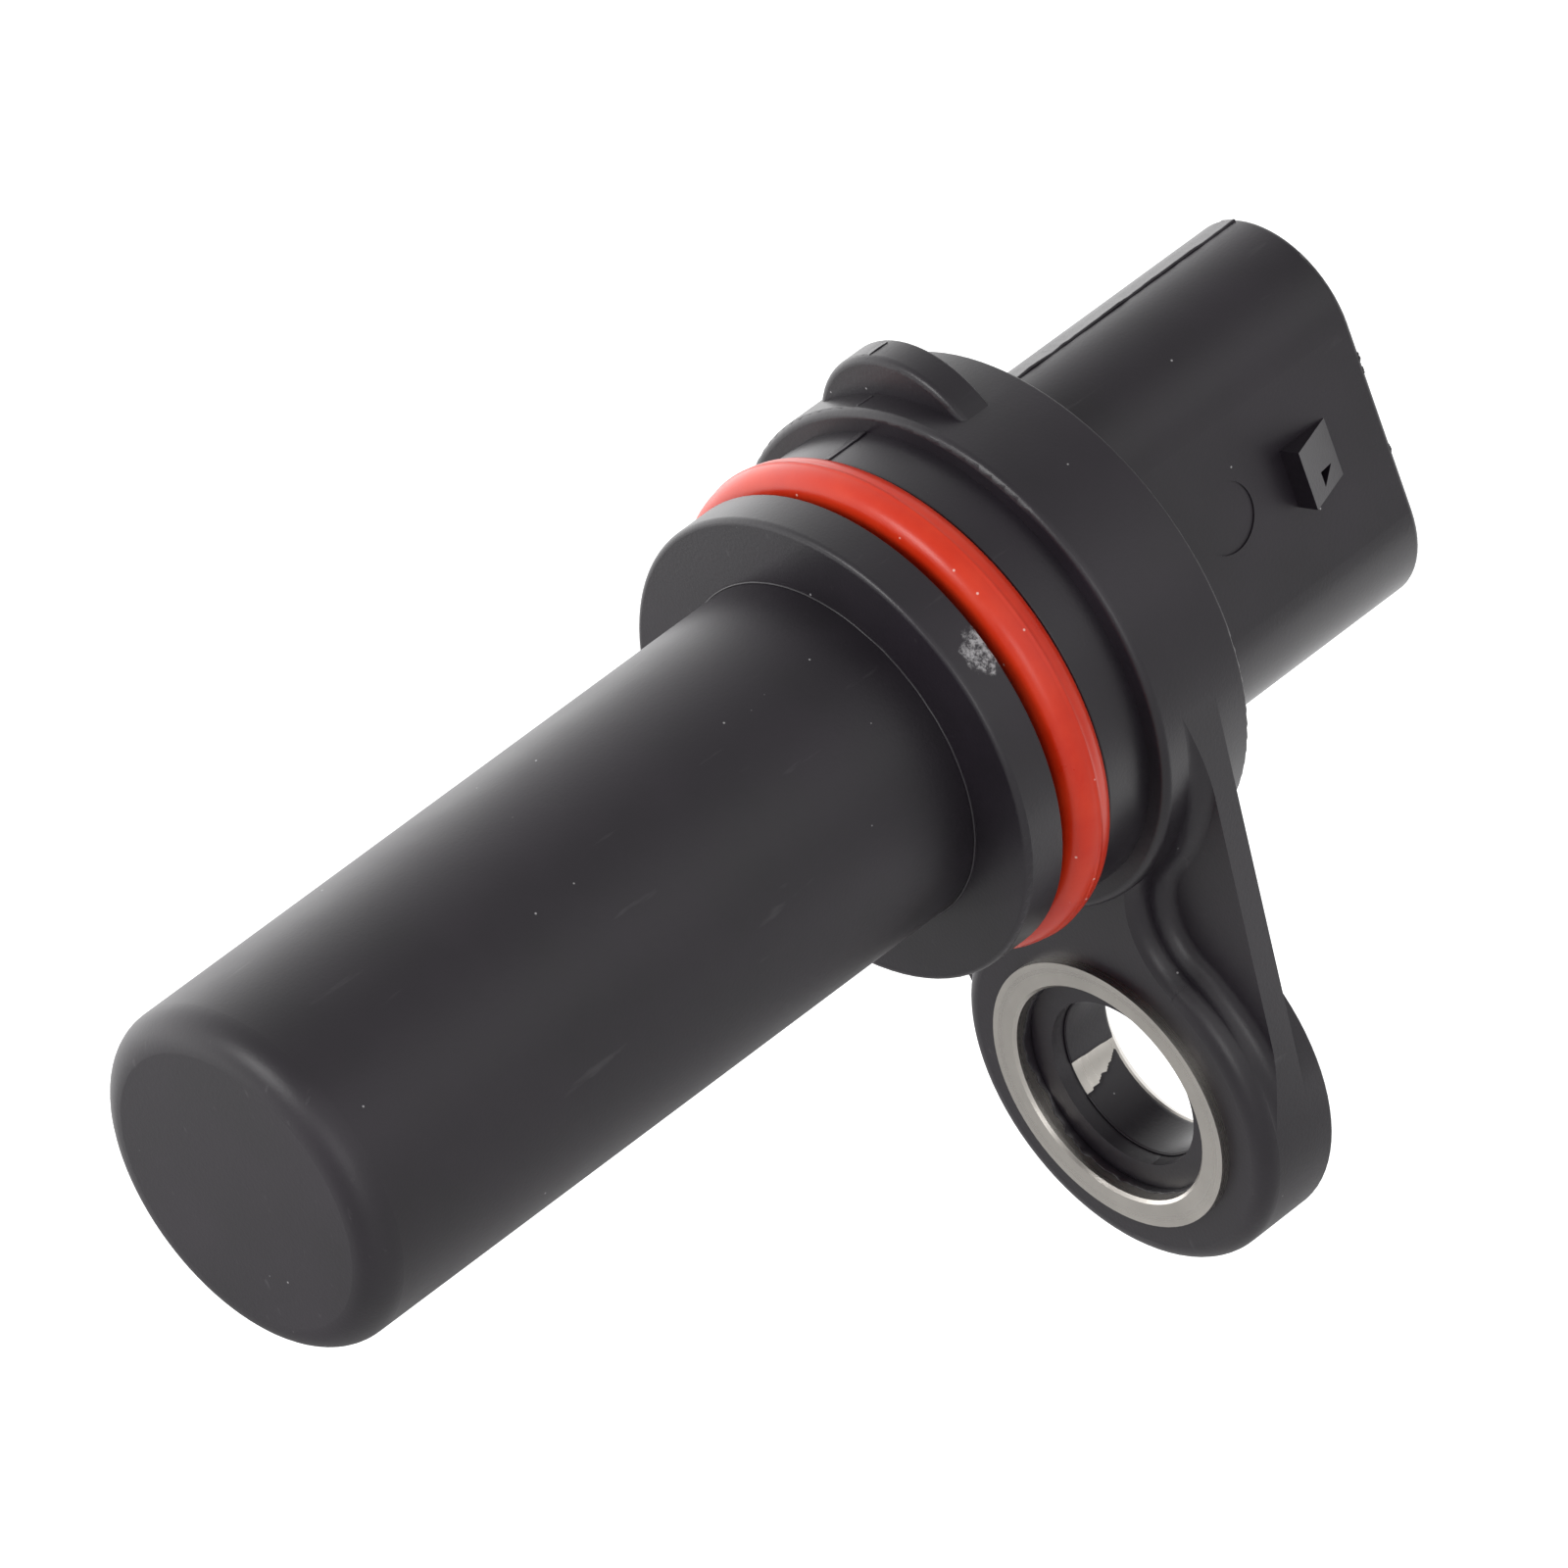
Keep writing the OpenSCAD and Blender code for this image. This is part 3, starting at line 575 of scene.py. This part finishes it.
def film_section(turn):
    """The film's section at a turn: proud of the bore where nylon lies, inside the steel where it is bare."""
    degrees = (math.degrees(turn) - wrap_from) % 360 + wrap_from
    section = []
    for row in range(film_rows + 1):
        share = row / film_rows
        bare_low = bare_low_side + bare_low_drift * share
        bare_high = bare_high_side + bare_high_drift * share ** bare_high_bend
        bare_high += bare_high_wave * ragged(turn, along=9.0 * share, fineness=25.0, seed=0.0)
        inside = math.radians(max(bare_low - degrees, degrees - bare_high)) * bore_r
        if degrees > bare_low:
            inside = min(inside, (1.0 - share) * film_len - bare_rear_margin)
        cover = min(max(inside / film_fade, 0.0), 1.0)
        section.append((film_sunk - (film_t + film_sunk) * cover, share * film_len))
    return section + [(film_back, film_len), (film_back, 0.0)]


counterbore_r = 5.95 * MM
infill_front_x = bush_low.x + 1.1 * MM
climb_mean = 0.42 * MM
climb_swell = 0.3 * MM
climb_ripple = 0.18 * MM
climb_t = 0.1 * MM
climb_sunk = 0.06 * MM


def flash_section(turn):
    """The section of the edge that climbs the counterbore's wall, as high as the turn says."""
    climb = climb_mean + climb_swell * ragged(turn, along=0.0, fineness=2.2, seed=4.0)
    climb += climb_ripple * ragged(turn, along=0.0, fineness=12.0, seed=7.0)
    return [(-climb_t, climb_sunk), (-0.8 * climb_t, -0.3 * climb), (-0.5 * climb_t, -0.85 * climb),
            (0.2 * climb_t, -climb), (0.4 * climb_t, climb_sunk)]


cup_root_r = 9.1 * MM
root_h = 0.1 * MM
root_ripple = 0.03 * MM
root_sunk = 0.05 * MM
root_crest = 0.03 * MM
root_shoulder = 0.07 * MM
root_foot = 0.12 * MM


def root_section(turn):
    """The section of the lip round the cup's root, a little uneven in height."""
    height = root_h + root_ripple * ragged(turn, along=0.0, fineness=9.0, seed=2.0)
    return [(-root_sunk, root_sunk), (-root_sunk, -0.3 * height), (root_crest, -height),
            (root_shoulder, -0.8 * height), (root_foot, root_sunk)]


flash_rings = {"bush_bore_film": (film_section, bore_r, film_front_x, bolt_z),
               "bush_counterbore_flash": (flash_section, counterbore_r, infill_front_x, bolt_z),
               "cup_root_flash": (root_section, cup_root_r, 0.0, 0.0)}
for name, (section_at, ring_r, ring_x, ring_z) in flash_rings.items():
    skin = mesh_piece(name, turned_ring(section_at, ring_r, ring_x, ring_z, flash_steps), True)
    fit_piece(skin, body_nylon, "body_plastic")

# Studio
# White lit paper behind a long-lens camera at the photograph's angle, in a room that is bright behind
# the part and dim above it. A grey card that the camera doesn't see is painted shade: in reflections it
# stands in for the floor's shade under the part, and keeps black undersides black.


def stage_sheet(name, outline, height):
    """A flat sheet of the studio with the outline given."""
    mesh = bpy.data.meshes.new(name)
    mesh.from_pydata([(x, y, height) for x, y in outline], [], [list(range(len(outline)))])
    sheet = bpy.data.objects.new(name, mesh)
    bpy.context.scene.collection.objects.link(sheet)
    return sheet


floor_reach = 2.0
floor_drop = 14 * MM
floor_z = cad_box[0][2] - floor_drop
floor = stage_sheet("floor", [(-floor_reach, -floor_reach), (floor_reach, -floor_reach),
                              (floor_reach, floor_reach), (-floor_reach, floor_reach)], floor_z)
fibre_size = 3 * MM
floor_paper, floor_tree, floor_shader = new_material("white_lit_paper")
paper_place = add_node(floor_tree, "ShaderNodeTexCoord").outputs["Object"]
paper_fibre = add_node(floor_tree, "ShaderNodeTexNoise", {"Vector": paper_place, "Scale": 1 / fibre_size})
paper_tone = add_node(floor_tree, "ShaderNodeValToRGB", {"Fac": paper_fibre.outputs["Fac"]},
                      stops=[(noise_low, "#f4f4f4"), (noise_high, "#ffffff")])
fill_sockets(floor_tree, floor_shader, {"Emission Color": paper_tone.outputs["Color"],
                                        "Emission Strength": 1.5, "Base Color": linear("#101010"),
                                        "Roughness": 0.9})
floor.data.materials.append(floor_paper)

# Painted shade: this grey sheet lies under the part where the floor is only in shade
card_back_y = 0.12
card_front_y = -0.045
card_right_x = 0.034
card_lift = 1 * MM
card = stage_sheet("shade_card", [(-floor_reach, -floor_reach), (floor_reach, -floor_reach),
                                  (floor_reach, card_front_y), (card_right_x, card_front_y),
                                  (card_right_x, card_back_y), (-floor_reach, card_back_y)],
                   floor_z + card_lift)
# Painted shade: the card's grey darkens from light to mid grey over 1 to 6 cm along this way
card_fade_way = (-0.59, 0.81, 0.0)
card_fade_from = 0.01
card_fade_to = 0.06
painted_shade_material, card_tree, card_shader = new_material("painted_shade_card")
card_place = add_node(card_tree, "ShaderNodeTexCoord").outputs["Object"]
card_away = add_node(card_tree, "ShaderNodeVectorMath", {0: card_place, 1: card_fade_way},
                     operation="DOT_PRODUCT")
painted_shade_fade = add_node(card_tree, "ShaderNodeMapRange",
                     {"Value": card_away.outputs["Value"], "From Min": card_fade_from,
                      "From Max": card_fade_to})
painted_shade_tone = add_node(card_tree, "ShaderNodeValToRGB", {"Fac": painted_shade_fade.outputs["Result"]},
                     stops=[(0.0, "#cacaca"), (1.0, "#a6a6a6")])
fill_sockets(card_tree, card_shader, {"Base Color": painted_shade_tone.outputs["Color"], "Roughness": 0.9})
card.data.materials.append(painted_shade_material)
card.visible_camera = False

# The room's brightness from its front, at 0, to its back, at 1
room_tones = [(0.0, 0.43), (0.08, 0.41), (0.19, 0.225), (0.285, 0.165), (0.4, 0.19), (0.5, 0.22),
              (0.625, 0.31), (0.73, 0.4), (0.82, 0.58), (0.885, 0.8), (0.92, 0.95), (1.0, 1.0)]
world = bpy.data.worlds.new("studio_room")
world.use_nodes = True
room_tree = world.node_tree
room_place = add_node(room_tree, "ShaderNodeTexCoord").outputs["Generated"]
room_apart = add_node(room_tree, "ShaderNodeSeparateXYZ", {"Vector": room_place})
room_depth = add_node(room_tree, "ShaderNodeMapRange", {"Value": room_apart.outputs["Y"], "From Min": -1.0})
room_light = add_node(room_tree, "ShaderNodeValToRGB", {"Fac": room_depth.outputs["Result"]},
                      stops=room_tones)
fill_sockets(room_tree, room_tree.nodes["Background"], {"Color": room_light.outputs["Color"],
                                                        "Strength": 2.7})
bpy.context.scene.world = world


def soft_box(name, place, width, radiance):
    """A square soft box at a place, aimed at the object, as bright as its radiance says."""
    light = bpy.data.lights.new(name, "AREA")
    light.size = width
    light.energy = radiance * math.pi * width ** 2
    lamp = bpy.data.objects.new(name, light)
    lamp.location = place
    lamp.rotation_euler = (-Vector(place)).to_track_quat("-Z", "Y").to_euler()
    bpy.context.scene.collection.objects.link(lamp)


soft_box("camera_box", place=(-1.04, 0.0, 0.78), width=0.5, radiance=7.5)
soft_box("side_box", place=(-0.92, -0.92, 0.16), width=0.5, radiance=3.0)

camera_place = (-0.3988, -0.5488, 0.3027)
camera_back = Vector((-0.5338, -0.7405, 0.4083)).normalized()
camera_right = Vector((0.6797, -0.6631, -0.3138)).normalized()
camera_up = camera_back.cross(camera_right).normalized()
camera_right = camera_up.cross(camera_back).normalized()
camera_turn = Matrix((camera_right, camera_up, camera_back)).transposed().to_4x4()
camera_data = bpy.data.cameras.new("photo_camera")
camera_data.sensor_width = 36.0
camera_data.lens = 364.4
camera_data.clip_end = 20.0
camera = bpy.data.objects.new("photo_camera", camera_data)
camera.matrix_world = Matrix.Translation(camera_place) @ camera_turn
bpy.context.scene.collection.objects.link(camera)
bpy.context.scene.camera = camera
bpy.context.scene.view_settings.view_transform = "Standard"
